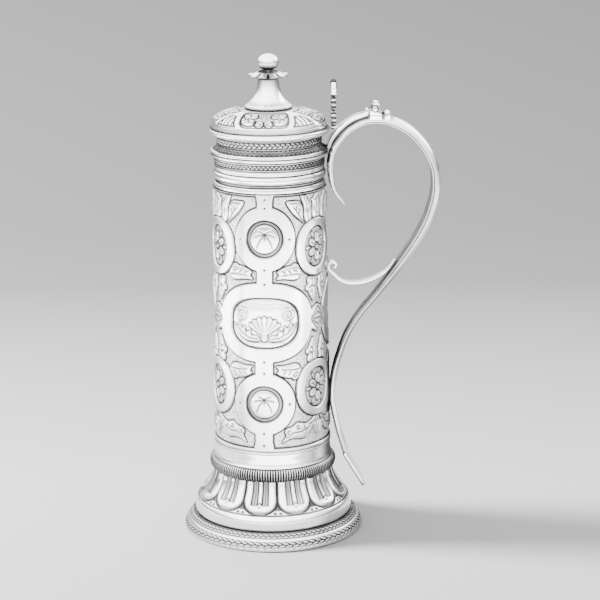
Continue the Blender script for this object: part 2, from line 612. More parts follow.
# Panels: a shell between two curling leaves over a band of waves, under fine flowing lines.
spray_edge = leaf_distance([
    (2.2, 138.2), (6.0, 137.2), (11.0, 137.6), (15.6, 139.6), (19.6, 143.6), (21.6, 148.6), (19.0, 147.2),
    (17.6, 149.6), (15.6, 146.0), (13.4, 147.6), (12.2, 143.8), (9.4, 144.4), (8.4, 141.4), (5.0, 141.2),
], S, Z)
spray_vein = lines_distance([
    [(3.0, 138.8), (10.0, 139.6), (16.0, 143.0), (20.4, 147.6)], [(12.0, 140.6), (13.2, 145.6)],
    [(15.6, 142.8), (17.4, 147.4)],
], S, Z)
crest = highest(
    fan(S, Z - 140.6, 13.6, 7, 1.05, 1.2),
    0.85 * smooth(-spray_edge, -0.1, 0.6) - 0.45 * soft(spray_vein, 0.32) * (spray_edge < 0),
    volute(S - 15.8, Z - 154.8, 4.4, 2.0, 0.9),
    1.2 * half_round(np.hypot(S, Z - 139.4) / 2.5),
)
lines = 0.5 + 0.5 * np.cos(math.tau * (Z + 0.55 * np.sin(0.62 * S)) / 2.6)
waves = highest(lines ** 3 * 0.3 * smooth(Z, 156, 159), 0.4 * np.abs(np.cos(0.55 * S)) * (Z < 136.4))
picture = highest(crest, waves * (crest < 0.05)) * smooth(-panel, 0.3, 1.2)

# Heights and dark lines: the ground and what stands on it, the straps with soft edges, then bosses,
# their stars, punched dots, the rays of the cross straps and a line round the foot.
H = np.where(panel < 0.4, picture, np.maximum(leaves, 0.0))
H = np.where(rosette_hole < 0.2, flowers * smooth(-rosette_hole, 0.1, 0.9), H)
H = H - 0.45 * soft(strap - 0.5, 0.45) * (strap > -0.1)
H = H - 0.35 * soft(leaf_edge - 0.45, 0.4) * (leaf_edge > 0) * on_leaf
H = np.where(strap < 0.35, np.maximum(H, -0.45 + 1.55 * smooth(-strap, -0.34, 0.42)), H)
ink = highest(
    soft(strap - 0.55, 0.66),
    0.95 * soft(leaf_edge - 0.45, 0.64) * on_leaf,
    0.9 * soft(veins, 0.45) * (leaf_edge < -0.2) * on_leaf,
    soft(flower_edge - 0.25, 0.60) * (rosette_hole < 0),
    0.48 * (rosette_hole < 0) * (1 - smooth(flowers, 0.1, 0.3)),
    0.85 * soft(spray_edge - 0.35, 0.55) * (panel < 0),
    0.8 * soft(spray_vein, 0.45) * (spray_edge < 0),
)
moat = -0.60 + 0.25 * soft(eyes - 10.9, 0.6)
boss = np.where(eyes < boss_radius, highest(0.2 + 0.65 * half_round(eyes / boss_radius), moat), moat)
H = np.where(eyes < moat_radius, boss, H)
ink = highest(np.where(eyes < moat_radius, 0.0, ink), soft(eyes - moat_radius, 0.62),
              0.95 * soft(eyes - 9.75, 0.50), 0.75 * (np.abs(eyes - 10.9) < 1.2))
for middle in eye_heights:
    for bearing_deg, reach in ((48, 5.8), (8, 7.4), (-35, 10.4), (90, 2.6), (-90, 4.0)):
        run, off = turned_to(S, Z - middle - 2.9, math.radians(bearing_deg))
        bow = 0.05 * (abs(bearing_deg) < 90)
        cut = soft(off + bow * run ** 2, 0.58) * between(run, -0.3, 0.3, reach - 1.6, reach)
        H = H - 0.22 * cut
        ink = highest(ink, cut)
for dot_s, dot_z in ((0, 231.2), (0, 225.6), (0, 185.0), (0, 175.6), (16.5, 204.9), (0, 123.6), (0, 115.8),
                     (16.6, 94.4), (0, 74.6), (0, 66.4)):
    dot = np.hypot(S - dot_s, Z - dot_z)
    H = H - 0.45 * soft(dot, 0.75, 4)
    ink = highest(ink, 0.85 * soft(dot, 0.95, 4))
ray_tips = (157.6, 153.8, 149.7, 145.6, 141.8)
rays = lines_distance([[(33.4, cushion_z + 0.15 * (tip - cushion_z)), (side, tip)] for tip in ray_tips], S, Z)
H = H - 0.35 * soft(rays, 0.36) - 0.4 * soft(Z - 61.9, 0.35)
ink = highest(ink, 0.85 * soft(rays, 0.5), 0.8 * soft(Z - 61.9, 0.4))
on_ground = (strap > 0.3) & (panel > 0.4) & (eyes > eye_radius)
ground = on_ground * (1 - smooth(-leaf_edge, -0.2, 0.2) * (rosette_hole > 0.4)) * (1 - smooth(H, 0.2, 0.4))

# The whole wall: each half column mirrored and repeated, darker near the handle and towards the foot.
H, ink, ground = (np.tile(np.hstack([f[:, ::-1], f]), (1, turns)) for f in (H - 0.45, ink, ground))
both_ways = np.concatenate([-offset[::-1], offset])
spin = np.radians(column_deg + np.concatenate([both_ways + 2 * half_turn_deg * k for k in range(turns)]))
hollow = highest(
    np.clip((blurred(H, 3) - H - 0.03) / 0.26, 0, 1),
    np.clip(ink, 0, 1),
    unrubbed(spin, 0.5),
    between(drum_z, 62, 84, 112, 150)[:, None] * smooth(np.cos(spin), 0.90, 0.985),
    0.20 * (1 - smooth(drum_z[:, None], 70, 165)),
)
lean_by = np.radians(np.linspace(lean_deg, -lean_deg, len(drum_z)))[:, None]
outward = np.stack([np.cos(spin + lean_by), np.sin(spin + lean_by), np.zeros_like(H)], -1)
on_axis = rows_of(axis_mm, 0.0, drum_z)[:, None]
drum_points = on_axis + outward * (wall[:, None] + H)[..., None]
drum_normal = unit(np.cross(np.gradient(drum_points, axis=0),
                            np.roll(drum_points, -1, 1) - np.roll(drum_points, 1, 1)))
for k, part_name in enumerate(("upper", "middle", "lower")):
    part = slice(k * band_rows, (k + 1) * band_rows + 1)
    ends = [(k + 1) * band_rows, k * band_rows]
    lining = on_axis[ends] + outward[ends] * (wall[ends] - wall_thick)[:, None, None]
    points = np.concatenate([drum_points[part], lining])
    recess, matted = (np.pad(field[part], ((0, 2), (0, 0))) for field in (hollow, ground))
    wall_part = mesh_object(f"silver_drum_wall_{part_name}", points, [grid_faces(*points.shape[:2])],
                            chased_silver, {"recess": recess, "matted": matted})
    normals = np.concatenate([drum_normal[part], -outward[ends]]).reshape(-1, 3)
    wall_part.data.normals_split_custom_set_from_vertices(normals.astype(np.float32))
    dressed(wall_part, "vessel", "silver_chased", "drum")

# Rim moulding
# The turned mouldings soldered round the top of the drum: a fillet, a cove, a polished torus and
# a band with three fine cut lines.

moulding_line = profile(
    0.15,
    [(35.2, 248.5, 0.3), (36.0, 248.5, 0.25), (36.0, 247.9, 0.2), (35.7, 247.7, 0.2), (36.0, 247.4, 0.25),
     (36.0, 246.9, 0.2), (35.7, 246.7, 0.2), (36.0, 246.4, 0.25), (36.0, 245.9, 0.2), (35.6, 245.5, 0.3)],
    arc((35.3, 242.5), (1.75, 2.6), (80, -80), 14, 0.4),
    [(35.2, 239.8, 0.3), (35.2, 237.9, 0.3), (36.3, 237.5, 0.3), (36.5, 237.0, 0.6), (36.5, 234.9, 0.3),
     (36.2, 234.3, 1.0), (34.2, 234.3, 3.0), (34.2, 248.5, 1.0)],
)
rim_moulding = turned("silver_rim_moulding", moulding_line, rim_angle, polished_silver,
                      ink=unrubbed(rim_angle, 0.65))
dressed(rim_moulding, "vessel", "silver_polished", "rim_moulding")

# Rim frieze band
# A strip of stamped leaf ornament bent to a ring and soldered above the moulding, between two
# plain wires.

frieze_angle = round_angles(640)
frieze_line = profile(0.2, [
    (36.9, 253.9, 0.3), (36.9, 253.3, 0.28), (36.3, 253.0, 0.32), (36.0, 249.9, 0.28), (36.4, 249.6, 0.28),
    (36.4, 248.8, 1.0), (34.2, 248.8, 2.5), (34.2, 253.9, 1.0),
])


def frieze(name, line, relief, dark):
    """A ring with a leaf border whose strip is matted and dark, more so near the handle."""
    strip = relief != 0
    ink = highest(dark * strip, unrubbed(frieze_angle, 0.88))
    return turned(name, line, frieze_angle, chased_silver, relief, ink, matted=0.25 * strip, depth=0.10)


frieze_relief = leaf_border(frieze_line, frieze_angle, inner=35.5, middle=251.45, half=1.7, leaves=80,
                            high=0.8, sunk=0.35)
rim_frieze = frieze("silver_rim_frieze", frieze_line, frieze_relief, 0.38)
dressed(rim_frieze, "vessel", "silver_chased", "rim_frieze_band")

# Rim lip
# The thick turned wire round the mouth that the lid comes down on.

lip_line = profile(0.35, [
    (38.2, 256.4, 0.3), (38.5, 255.6, 0.3), (38.2, 254.6, 0.3), (37.2, 254.2, 0.8), (34.2, 254.2, 1.0),
    (34.2, 256.4, 1.0),
])
rim_lip = turned("silver_rim_lip", lip_line, rim_angle, polished_silver, ink=unrubbed(rim_angle, 0.4))
dressed(rim_lip, "vessel", "silver_polished", "rim_lip")

# Handle straps
# A crowned outer strap and a thin inner strip, drawn as long silver bars, bent together to the
# handle's scroll and soldered back to back; the seam between them shows as a dark line. They are
# dark where the lid's arm covers them and where they lie close to the drum.


def flowing(knots, steps):
    """Points (x, z, scale) along a smooth line through knots: cubic curves whose handles lie
    along the sum of the unit directions to the two neighbours, each a 2.56th of its span long."""
    knots = np.asarray(knots, float)
    at = knots[:, :2]
    back = at - np.vstack([2 * at[:1] - at[1:2], at[:-1]])
    ahead = np.vstack([at[1:], 2 * at[-1:] - at[-2:-1]]) - at
    tangent = unit(unit(back) + unit(ahead)) / 2.5614
    t = np.linspace(0, 1, steps, endpoint=False)[None, :, None]
    b = (at + tangent * np.linalg.norm(ahead, axis=1, keepdims=True))[:-1, None]
    c = (at - tangent * np.linalg.norm(back, axis=1, keepdims=True))[1:, None]
    curve = (1 - t) ** 3 * at[:-1, None] + 3 * t * (1 - t) ** 2 * b
    curve = curve + 3 * t ** 2 * (1 - t) * c + t ** 3 * at[1:, None]
    scale = knots[:-1, 2][:, None, None] * (1 - t) + knots[1:, 2][:, None, None] * t
    return np.vstack([np.concatenate([curve, scale], 2).reshape(-1, 3), knots[-1:]])


def along(path, section):
    """A section (across, out) carried along a path in the handle's plane: each section point is
    scaled, moved across in y, and moved out along the left-hand normal of the path."""
    across, out = (path[:, 2:] * np.asarray(section, float)[:, k] for k in (0, 1))
    normal = left_of(np.gradient(path[:, :2], axis=0))
    x, z = axis_mm + path[:, :1] + out * normal[:, :1], path[:, 1:2] + out * normal[:, 1:]
    return np.stack([x, across, z], -1)


def tubes(name, material, *parts):
    """One object from several closed tubes, each an array of stations by section points, with a
    flat face at each end, and its darkness."""
    faces, first = [], 0
    for shape, _ in parts:
        stations, around = shape.shape[:2]
        start = np.arange(around)[None, :] + first
        end = start[:, ::-1] + (stations - 1) * around
        faces += [grid_faces(stations, around, wrap_rows=False, first=first), start, end]
        first += stations * around
    points = np.concatenate([shape.reshape(-1, 3) for shape, _ in parts])
    recess = np.concatenate([np.broadcast_to(shade, shape.shape[:2]).ravel() for shape, shade in parts])
    return mesh_object(name, points, faces, material, {"recess": recess, "matted": np.zeros(first)})


satin_silver = silver("satin silver", rough=0.21, grain=0.03)
seam_path = flowing([
    (49.37, 220.74, 0.24), (43.13, 230.27, 0.46), (40.67, 241.81, 0.60), (41.44, 253.40, 0.66),
    (46.88, 263.61, 0.72), (57.40, 272.59, 0.80), (69.49, 275.70, 0.90), (82.53, 272.77, 0.97),
    (95.43, 263.61, 1.00), (106.10, 246.40, 1.00), (107.70, 236.00, 1.00), (107.20, 227.40, 1.00),
    (105.20, 218.80, 1.00), (100.85, 207.00, 1.00), (86.19, 183.37, 0.98), (70.83, 162.48, 0.74),
    (54.70, 141.60, 0.68), (45.93, 123.28, 0.68), (39.49, 92.50, 0.68), (42.26, 71.75, 0.68),
    (47.89, 51.00, 0.68),
], 14)
seam_x, seam_z = seam_path[:, :1], seam_path[:, 1:2]
left_wire = arc((-8.45, 1.55), (0.55, 0.6), (200, 20), 6)
strap_section = np.vstack([
    [(-8.8, 0.15), (-9.0, 0.4), (-9.0, 1.2)],
    left_wire[1:],
    [(-7.75, 1.62)],
    arc((0.0, 1.55), (7.7, 3.2), (168, 12), 17),
    [(7.75, 1.62)],
    (left_wire * (-1, 1))[:0:-1],
    [(9.0, 1.2), (9.0, 0.4), (8.8, 0.15)],
])
across = np.abs(strap_section[:, 0])
groove = soft(across - 7.75, 0.25)
groove[[0, -1]] = 0.9
under_arm = between(seam_x, 40, 44, 79, 81) * (seam_z > 250)
low_part = between(seam_z, 92, 112, 168, 205)
right_part = smooth(seam_x, 60, 100)
strap_shade = highest(
    groove,
    0.62 * under_arm * ((strap_section[:, 1] > 1.62) & (across < 7.72)),
    np.where(across > 8.8, 0.30 + 0.25 * right_part + 0.25 * low_part, 0.60 * low_part),
)
outer_strap = tubes("silver_handle_outer_strap", satin_silver, (along(seam_path, strap_section), strap_shade))
dressed(outer_strap, "vessel", "silver_polished", "handle_outer_strap")

strip_section = [
    (-8.7, -0.15), (8.7, -0.15), (8.95, -0.35), (8.95, -0.75), (8.5, -1.3), (7.9, -1.45), (7.4, -1.2),
    (-7.4, -1.2), (-7.9, -1.45), (-8.5, -1.3), (-8.95, -0.75), (-8.95, -0.35),
]
strip_shade = np.array([0.9, 0.9, 0.6, 0.40, 0.45, 0.5, 0.55, 0.55, 0.5, 0.45, 0.40, 0.6])
by_drum = between(seam_z, 52, 84, 116, 146)
strip_shade = np.minimum(strip_shade + 0.10 * right_part + highest(0.26 * low_part, 0.55 * by_drum), 1.0)
inner_strip = tubes("silver_handle_inner_strip", satin_silver, (along(seam_path, strip_section), strip_shade))
dressed(inner_strip, "vessel", "silver_polished", "handle_inner_strip")

# Handle scroll
# The thin strap that ties the middle of the handle to the drum: hammered to a taper, curled at
# the drum and laid flat against the inner strip, and soldered at both ends.

scroll_path = flowing([
    (42.01, 177.54, 0.60), (43.37, 180.09, 0.75), (41.64, 181.61, 0.80), (39.39, 181.16, 0.85),
    (38.37, 179.10, 0.90), (43.12, 172.70, 1.00), (48.14, 168.90, 1.00), (54.60, 167.50, 1.00),
    (62.48, 168.50, 1.00), (70.37, 171.70, 1.00), (76.43, 175.90, 1.00), (82.20, 183.60, 0.80),
], 10)
scroll_section = eased([(3.6, 1.0), (3.6, -1.0), (-3.6, -1.0), (-3.6, 1.0)], 0.45, 5)
scroll_shade = 0.16 + 0.30 * smooth(scroll_section[:, 1], -0.2, 0.8)
handle_scroll = tubes("silver_handle_scroll", satin_silver,
                      (along(scroll_path, scroll_section), scroll_shade))
dressed(handle_scroll, "vessel", "silver_polished", "handle_scroll")

# Handle tail shield
# The small shaped plate that closes the lower end of the handle, sawn from thick sheet, filed
# round at its edges and soldered on, with a line cut inside its border.

shield_share = np.concatenate([[0.0, 0.012], np.linspace(0.03, 0.97, 40), [0.985, 1.0]])[:, None]
shield_half = np.interp(shield_share, [0, 0.012, 0.08, 0.3, 0.42, 0.55, 0.7, 0.84, 0.94, 0.985, 1.0],
                        [7.4, 7.8, 8.0, 8.0, 8.1, 8.2, 8.3, 8.4, 8.2, 7.6, 6.6])
plump = np.interp(shield_share, [0, 0.02, 0.97, 1.0], [0.75, 1.0, 1.0, 0.6])
right_edge = arc((0.90, 0.0), (0.10, 1.3), (90, -90), 7)
shield_section = np.vstack([
    [(0.0, 1.05), (0.6, 1.05), (0.72, 1.05), (0.76, 0.85), (0.80, 1.3)], right_edge,
    [(0.80, -1.3), (-0.80, -1.3)], (right_edge * (-1, 1))[::-1],
    [(-0.80, 1.3), (-0.76, 0.85), (-0.72, 1.05), (-0.6, 1.05)],
])[::-1]
shield_across, shield_out = shield_section.T
lean_x, lean_z = 0.5150, -0.8572
shield_down = shield_share * 26.4
shield_points = np.stack([
    axis_mm + 48.05 + lean_x * shield_down - lean_z * shield_out * plump,
    shield_across * shield_half,
    50.12 + lean_z * shield_down + lean_x * shield_out * plump,
], -1)
cut_line = soft(np.abs(shield_across) - 0.76, 0.03) * (shield_out > 0)
shield_shade = highest(cut_line, 0.75 * (shield_out < -0.3))
tail_shield = tubes("silver_handle_tail_shield", satin_silver, (shield_points, shield_shade))
dressed(tail_shield, "vessel", "silver_polished", "handle_tail_shield")

# Hinge block and pin
# Two upright lugs and a small heel on a common foot, sawn from one piece and soldered to the crown
# of the handle over a dark sole; a silver pin with a low domed head at each end goes through the
# lugs and the lid's knuckle.

pin_x, pin_z = 68.8, 284.5


def slab(outline, low, high, ease=0.35):
    """A block from an outline (x, z) and two limits in y, with its edges eased at both ends."""
    outline = eased(outline, ease, 3)
    y = np.array([low, low + 0.3 * ease, low + ease, high - ease, high - 0.3 * ease, high])
    shrink = np.array([ease, 0.3 * ease, 0, 0, 0.3 * ease, ease])[:, None, None]
    flat = outline - shrink * unit(outline - outline.mean(0))
    return np.stack(np.broadcast_arrays(axis_mm + flat[..., 0], y[:, None], flat[..., 1]), -1)


lug_outline = np.vstack([
    [(65.7, 280.0), (65.7, 284.0)],
    arc((69.75, 285.75), (2.35, 2.32), (168, -5), 12),
    [(72.9, 282.8), (73.2, 280.0)],
])
heel_outline = np.vstack([[(75.1, 276.9)], arc((77.0, 281.3), (1.8, 1.4), (175, 5), 9), [(78.8, 276.6)]])
foot_outline = [(65.5, 277.2), (65.5, 280.6), (73.4, 280.6), (73.4, 277.2)]
sole_outline = [(65.6, 276.9), (65.6, 280.2), (78.7, 280.0), (78.7, 276.6)]
block = tubes("silver_hinge_block", polished_silver, *[
    (slab(outline, low, high), dark) for outline, low, high, dark in (
        (lug_outline, -7.75, -3.55, 0.0), (lug_outline, 3.55, 7.75, 0.0), (heel_outline, -7.9, 7.9, 0.0),
        (foot_outline, -7.9, 7.9, 0.0), (sole_outline, -7.3, 7.3, 0.9),
    )
])
dressed(block, "vessel", "silver_polished", "hinge_block")


def crosswise(a, b, height):
    """Places a turned shape on the hinge's axis, which runs across the handle."""
    return np.stack(np.broadcast_arrays(axis_mm + pin_x + a, -height, pin_z + b), -1)


def pole_turned(name, line, angle, material, place=upright, ink=0.0):
    """A turned solid with closed poles: the first and the last point of the line (radius, height)
    are put on the axis, and the points between are swung round to each angle; `ink` darkens rows."""
    radius, height = line[1:-1, :1], line[1:-1, 1:]
    rows, columns = len(radius), len(angle)
    points = place(radius * np.cos(angle), radius * np.sin(angle), height).reshape(-1, 3)
    poles = place(0.0, 0.0, line[[0, -1], 1])
    j = np.arange(columns)
    after = (j + 1) % columns
    last = (rows - 1) * columns
    upper = rows_of(rows * columns, j, after)
    lower = rows_of(rows * columns + 1, last + after, last + j)
    dark = np.repeat(np.broadcast_to(ink, len(line))[1:-1], columns)
    marks = {"recess": np.append(dark, [0, 0]), "matted": np.zeros(len(points) + 2)}
    faces = [grid_faces(rows, columns, wrap_rows=False), upper, lower]
    return mesh_object(name, np.vstack([points, poles]), faces, material, marks)


pin_end = arc((0.0, 8.2), (2.6, 0.8), (90, 0), 12)
pin_half = np.vstack([pin_end, [(2.6, 7.95), (1.7, 7.9)]])
pin_line = np.vstack([pin_half, (pin_half * (1, -1))[::-1]])
pin_ink = 0.97 * smooth(pin_line[:, 0], 1.35, 1.6)
hinge_pin = pole_turned("silver_hinge_pin", pin_line, round_angles(40), polished_silver, crosswise, pin_ink)
dressed(hinge_pin, "vessel", "silver_polished", "hinge_pin")

# Lid bezel
# The plain ring inside the lid that drops into the mouth and keeps the lid in its place.

left_plain("lid_bezel")

# Lid base flange
# The flared foot of the lid, spun from sheet: a plain edge that meets the rim, and a hollow flare
# chased all over with small scales.

flare_line = profile(
    0.15,
    arc((38.4, 262.0), (4.2, 3.2), (180, 262), 20, 0.28),
    [(38.2, 258.8, 0.3), (38.5, 258.4, 0.3), (38.5, 257.2, 0.3), (38.1, 256.7, 2.0), (32.6, 256.7, 2.0),
     (32.6, 262.0, 1.0)],
)
level = (flare_line[:, 1:] - 258.9) / 0.95
row_of = np.floor(level)
scale_x = (frieze_angle * 70 / math.tau + 0.5 * (row_of % 2)) % 1 - 0.5
on_flare = (level > 0.05) & (level < 3.1) & (flare_line[:, :1] > 33.5)
scale = half_round(2 * scale_x * math.sqrt(0.95)) * (1 - 0.8 * (level - row_of))
lid_flange = turned("silver_lid_base_flange", flare_line, frieze_angle, chased_silver,
                    np.where(on_flare, 0.42 * scale - 0.3, 0.0),
                    highest(0.75 * on_flare, unrubbed(frieze_angle, 0.92)), matted=0.4 * on_flare, depth=0.12)
dressed(lid_flange, "lid", "silver_chased", "lid_base_flange")

# Lid frieze band
# A stamped strip round the neck of the lid, a running leaf between two plain wires.

lid_frieze_line = profile(0.15, [
    (34.9, 268.0, 0.3), (34.9, 267.5, 0.28), (34.4, 267.3, 0.3), (34.2, 263.0, 0.28), (34.6, 262.8, 0.28),
    (34.6, 262.3, 1.0), (32.6, 262.3, 2.5), (32.6, 268.0, 1.0),
])
lid_relief = leaf_border(lid_frieze_line, frieze_angle, inner=33.8, middle=265.15, half=2.25, leaves=64,
                         high=0.9, sunk=0.3)
lid_frieze = frieze("silver_lid_frieze", lid_frieze_line, lid_relief, 0.52)
dressed(lid_frieze, "lid", "silver_chased", "lid_frieze_band")

# Lid rim
# A turned moulding under the dome: a rounded bead over a hollow cove that runs in to the frieze.

cove = np.linspace(0, 1, 10)
lid_rim_line = profile(
    0.12,
    [(37.2, 272.6, 0.4)],
    arc((38.0, 270.85), (1.65, 1.72), (78, -78), 12, 0.35),
    [(38.1, 268.95, 0.3), (38.0, 268.6, 0.3)],
    rows_of(37.6 - 2.6 * cove ** 0.7, 268.7 - 0.35 * cove ** 1.6, 0.3),
    [(34.6, 268.2, 1.0), (32.6, 268.2, 2.0), (35.8, 272.6, 1.0)],
)
cove_ink = highest(0.8 * (1 - smooth(lid_rim_line[:, 1:], 268.6, 268.9)), unrubbed(rim_angle, 0.6))
lid_rim = turned("silver_lid_rim", lid_rim_line, rim_angle, polished_silver, ink=cove_ink)
dressed(lid_rim, "lid", "silver_polished", "lid_rim")

# Lid dome
# A low cushion-shaped dome raised from sheet. It is chased in four wide panels with curled
# leaves, each between plain slanting straps, and four small three-cornered panels of ribs.

dome_radius = np.linspace(37.4, 2.1, 700)
dome_height = 272.9 + 12.2 * np.clip(1 - (dome_radius / 37.4) ** 2.7, 0, 1) ** 0.34
dome_walk = walked(rows_of(dome_radius, dome_height))
dome_w = np.concatenate([np.linspace(0, 30, 96), np.linspace(31.5, dome_walk[-1], 8)])[::-1]
dome_outer = rows_of(np.interp(dome_w, dome_walk, dome_radius), np.interp(dome_w, dome_walk, dome_height))
dome_inner = [(35.9, 272.9), (34.6, 277.0), (30.0, 281.2), (18.0, 283.4), (2.1, 283.7)]
dome_line = np.vstack([dome_outer, dome_inner])
dome_start_deg = -95.4
dome_angle = round_angles(720, dome_start_deg)
quarter = np.radians(np.abs((np.degrees(dome_angle) - dome_start_deg + 45) % 90 - 45))[None, :]
dome_x = quarter * dome_outer[:, :1]
dome_y = dome_w[:, None] + 0 * dome_x
low_edge, high_edge, panel_corner = 4.2, 23.6, 4.0
half_width = 16.6 - 3.2 * ((dome_y - low_edge) / (high_edge - low_edge)) ** 2
past_end = np.maximum(low_edge + panel_corner - dome_y, dome_y - (high_edge - panel_corner))
frame_edge = round_box(dome_x - (half_width - panel_corner), past_end, panel_corner)
corner_edge = highest(4.4 - frame_edge, low_edge + 0.3 - dome_y, dome_y - 15.0)
low_leaf = [(5.4, 9.4), (7.6, 6.6), (11.0, 6.0), (14.6, 7.4), (15.2, 10.0), (12.6, 10.4), (11.8, 12.6),
            (9.6, 11.0), (7.4, 12.0)]
high_leaf = [(4.4, 16.0), (6.4, 13.6), (9.4, 14.6), (12.8, 13.6), (13.8, 17.0), (11.4, 18.0), (10.4, 21.0),
             (7.8, 19.4), (5.2, 20.6)]
dome_leaf = nearest(*[leaf_distance(outline, dome_x, dome_y) for outline in (low_leaf, high_leaf)])
dome_vein = lines_distance([
    [(6.4, 9.6), (10.0, 8.4), (14.0, 8.8)], [(9.6, 8.6), (10.8, 11.0)], [(8.8, 17.0), (9.4, 19.6)],
    [(5.4, 17.0), (9.0, 17.0), (12.6, 15.6)], [(9.0, 17.0), (8.6, 15.4)],
], dome_x, dome_y)
curl_x, curl_y, curl_radius = dome_x - 3.2, dome_y - 7.8, 2.9
chasing = highest(
    0.7 * smooth(-dome_leaf, -0.1, 0.5) - 0.35 * soft(dome_vein, 0.34) * (dome_leaf < -0.2),
    volute(curl_x, curl_y, curl_radius, 1.3, 0.75),
    fan(dome_x, dome_y - 11.2, 8.6, 5, 0.52, 0.8),
)
in_frame = smooth(-frame_edge, 0.3, 0.9)
in_corner = smooth(-corner_edge, 0.2, 0.6)
ribs = np.abs(np.cos(math.pi * (math.pi / 4 - quarter) * dome_outer[:, :1] / 3.4)) ** 0.7
straps = 0.55 * smooth(frame_edge, -0.3, 0.3) * (1 - smooth(-corner_edge, -0.3, 0.3))
dome_relief = straps + chasing * in_frame + 0.5 * ribs * in_corner - 0.55
dome_relief = dome_relief * between(dome_y, 0.3, 1.6, 25.5, 26.5) - 0.35 * soft(dome_y - 2.2, 0.42)
dome_ink = highest(
    0.95 * soft(frame_edge + 0.25, 0.70),
    0.95 * soft(corner_edge + 0.15, 0.70),
    0.9 * in_corner * smooth(1 - ribs, 0.30, 0.65),
    0.95 * in_frame * soft(dome_leaf - 0.4, 0.62),
    0.95 * in_frame * soft(np.hypot(curl_x, curl_y) - curl_radius - 0.3, 0.62),
    0.8 * in_frame * soft(dome_vein, 0.48) * (dome_leaf < -0.2),
    0.85 * soft(dome_y - 2.2, 0.55),
)
dome_matted = 0.8 * (frame_edge < -0.3) * (chasing < 0.2)
lid_dome = turned("silver_lid_dome", dome_line, dome_angle, chased_silver, dome_relief, dome_ink,
                  dome_matted, depth=0.34)
dressed(lid_dome, "lid", "silver_chased", "lid_dome")

# Finial pedestal
# A tall trumpet-shaped stem turned from a casting and polished, with a flat ring at its foot; it
# stands on the dome and carries the calyx and the ball.

neck = np.linspace(0, 1, 30)
pedestal_line = profile(
    0.25,
    rows_of(6.5 + 3.0 * neck + 5.1 * neck ** 4, 304.05 - 16.5 * neck, 0.5),
    [(14.9, 287.3, 0.3), (15.7, 286.7, 0.3), (15.7, 285.2, 1.0), (12.7, 285.2, 1.0), (6.0, 290.0, 2.0),
     (2.1, 300.0, 3.0), (2.1, 304.05, 1.5)],
)
pedestal_angle = round_angles(128)
pedestal_z = pedestal_line[:, 1:]
foot_marks = (0.35 + 0.2 * np.sin(5 * pedestal_angle + 1)) * soft(pedestal_z - 288.4, 1.2)
pedestal = turned("silver_finial_pedestal", pedestal_line, pedestal_angle, polished_silver,
                  ink=0.55 * smooth(pedestal_z, 294, 304) + foot_marks)
dressed(pedestal, "lid", "silver_polished", "finial_pedestal")

# Finial calyx
# A ring of eight leaf-shaped petals cut from sheet, each raised along its middle and curled up at
# its tip, held between the stem and the ball.

petals = 8
calyx_angle = round_angles(petals * 40, -90)
from_ridge = np.abs(((calyx_angle * petals / math.tau) % 1) - 0.5) * 2
petal_u = np.concatenate([np.linspace(0, 1, 22), np.linspace(1, 0, 14)])[:, None]
under = np.repeat([0.0, 1.0], [22, 14])[:, None]
petal_length = 1 - 0.50 * from_ridge ** 4 - 0.06 * from_ridge ** 2
calyx_height = 309.1 - 4.2 * petal_u ** 0.9 + 1.7 * petal_u ** 6 - 0.7 * from_ridge ** 2 * petal_u
calyx_height = calyx_height + 0.5 * soft(from_ridge, 0.16) * petal_u * (1 - petal_u) * 4
calyx_height = calyx_height - under * (0.9 + 1.6 * (1 - petal_u) ** 2)
calyx_ink = highest(
    0.98 * soft(1 - from_ridge, 0.36, 4) * smooth(petal_u, 0.1, 0.35) * (1 - under),
    0.9 * (1 - smooth(petal_u, 0.15, 0.40)) * (1 - under) + 0.8 * under,
)
calyx = ring_of("silver_finial_calyx", 5.0 + 8.1 * petal_u * petal_length, calyx_height, calyx_angle,
                chased_silver, ink=calyx_ink)
dressed(calyx, "lid", "silver_chased", "finial_calyx")

# Finial ball
# A slightly flattened ball with a satin finish, made of two raised halves soldered at the middle and
# screwed down on the stud; its underside is tarnished.

ball_line = arc((0.0, 314.65), (7.1, 5.4), (90, -90), 40)
ball_ink = 0.97 * (1 - smooth(ball_line[:, 1], 309.8, 318.2))
ball = pole_turned("silver_finial_ball", ball_line, round_angles(80), satin_silver, ink=ball_ink)
dressed(ball, "lid", "silver_polished", "finial_ball")

# Finial stud and nut
# The threaded rod through the finial and the nut that holds it under the dome, left plain.

left_plain("finial_stud")
left_plain("finial_nut")

# Hinge arm
# The strap that carries the lid: it leaves the lid's edge, lies along the handle up to an upright
# stop, and ends in a tongue and a knuckle that turns on the pin between the lugs.

arm_path = flowing([
    (38.40, 258.95, 1.0), (39.60, 262.20, 1.0), (41.40, 265.44, 1.0), (52.85, 276.25, 1.0),
    (64.30, 280.79, 1.0),
], 14)
arm_section = [
    (-7.0, -1.05), (-7.0, 0.3), (-6.6, 0.9), (-5.8, 1.0), (-5.4, 0.75), (-5.0, 0.95), (0.0, 1.1),
    (5.0, 0.95), (5.4, 0.75), (5.8, 1.0), (6.6, 0.9), (7.0, 0.3), (7.0, -1.05),
]
arm_shade = np.zeros(len(arm_section))
arm_shade[[4, 8]] = 0.9
tongue_path = flowing([(60.10, 279.71, 1.0), (64.30, 281.42, 1.0), (66.60, 283.20, 1.0)], 8)
tongue_section = [(-3.2, -1.1), (-3.2, 1.1), (3.2, 1.1), (3.2, -1.1)]
stop_outline = [(62.85, 280.2), (62.85, 284.15), (64.5, 284.15), (64.5, 280.2)]
arm = tubes("silver_hinge_arm", polished_silver, (along(arm_path, arm_section), arm_shade),
            (along(tongue_path, tongue_section), 0.0), (slab(stop_outline, -7.0, 7.0, 0.4), 0.0))
dressed(arm, "lid", "silver_polished", "hinge_arm")
